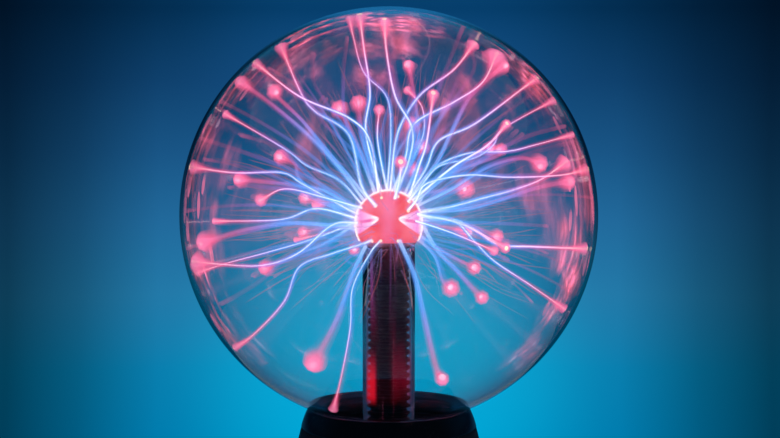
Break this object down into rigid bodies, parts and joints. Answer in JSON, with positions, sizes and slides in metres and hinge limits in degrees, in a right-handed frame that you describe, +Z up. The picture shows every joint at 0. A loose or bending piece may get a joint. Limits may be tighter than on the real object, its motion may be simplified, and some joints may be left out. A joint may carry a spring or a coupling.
{
  "type": "plasma ball",
  "caption": "Clear glass globe with a glowing central electrode on a black glass-fed stem, standing on a small flared black pedestal with a slide switch and a power socket at the back.",
  "frame": {"origin": "on the table surface, under the centre of the pedestal, at the underside of the rubber feet", "axes": "+Z up along the axis of globe and stem, +Y towards the rear panel with the socket and switch, +X to the right seen from the front"},
  "size_m": [0.2, 0.2, 0.29],
  "materials": {
    "clear_glass": "clear blown borosilicate, polished",
    "electrode_coating": "thin conductive layer that glows red through the glass",
    "contact_brass": "bare rolled brass",
    "black_sleeve": "black corrugated polyethylene, slight sheen",
    "black_rubber": "matt black rubber",
    "black_foam": "closed-cell foam",
    "silicone": "cured dark silicone",
    "lead_silicone": "red silicone insulation",
    "gloss_black": "high-gloss black moulding",
    "matte_black": "fine-grained matt black moulding",
    "switch_black": "moulded black nylon",
    "zinc_steel": "zinc-plated steel",
    "tinned_steel": "tinned sheet",
    "board_green": "green solder mask on glass epoxy",
    "ferrite": "dark grey ferrite",
    "bobbin_nylon": "natural nylon",
    "copper_wire": "enamelled copper wire",
    "heat_sink_aluminium": "plain extruded aluminium",
    "epoxy_black": "moulded black epoxy",
    "capacitor_sleeve": "blue shrink sleeve",
    "film_red": "red epoxy dip",
    "resistor_tan": "tan lacquer",
    "trimmer_blue": "blue moulding",
    "nickel": "bright nickel plate"
  },
  "bodies": {
    "root": {"globe": "clear_glass", "electrode_stem": "clear_glass", "exhaust_tip": "clear_glass", "electrode_coating": "electrode_coating", "contact_spring": "contact_brass", "ribbed_sleeve": "black_sleeve", "sleeve_bush": "black_rubber", "hv_lead": "lead_silicone", "seat_gasket": "black_foam", "neck_silicone": "silicone", "foam_baffle": "black_foam", "top_cover": "gloss_black", "cover_screws": "zinc_steel", "base_housing": "matte_black", "rear_panel": "matte_black", "bottom_plate": "matte_black", "bottom_screws": "zinc_steel", "rubber_feet": "black_rubber", "circuit_board": "board_green", "board_screws": "zinc_steel", "transformer_core": "ferrite", "transformer_bobbin": "bobbin_nylon", "transformer_windings": "copper_wire", "heat_sink": "heat_sink_aluminium", "power_transistor": "epoxy_black", "transistor_screw": "zinc_steel", "electrolytic_capacitors": "capacitor_sleeve", "film_capacitors": "film_red", "resistors": "resistor_tan", "driver_chip": "epoxy_black", "choke_core": "ferrite", "choke_winding": "copper_wire", "trimmer": "trimmer_blue", "microphone": "tinned_steel", "dc_jack_housing": "switch_black", "dc_jack_pin": "nickel", "switch_can": "tinned_steel", "switch_terminals": "tinned_steel"},
    "switch_slider": {"switch_actuator": "switch_black", "switch_cap": "switch_black"}
  },
  "joints": [
    {"name": "switch_slide", "type": "slide", "parent": "root", "child": "switch_slider", "axis": [1, 0, 0], "range_m": [0, 0.006]}
  ]
}
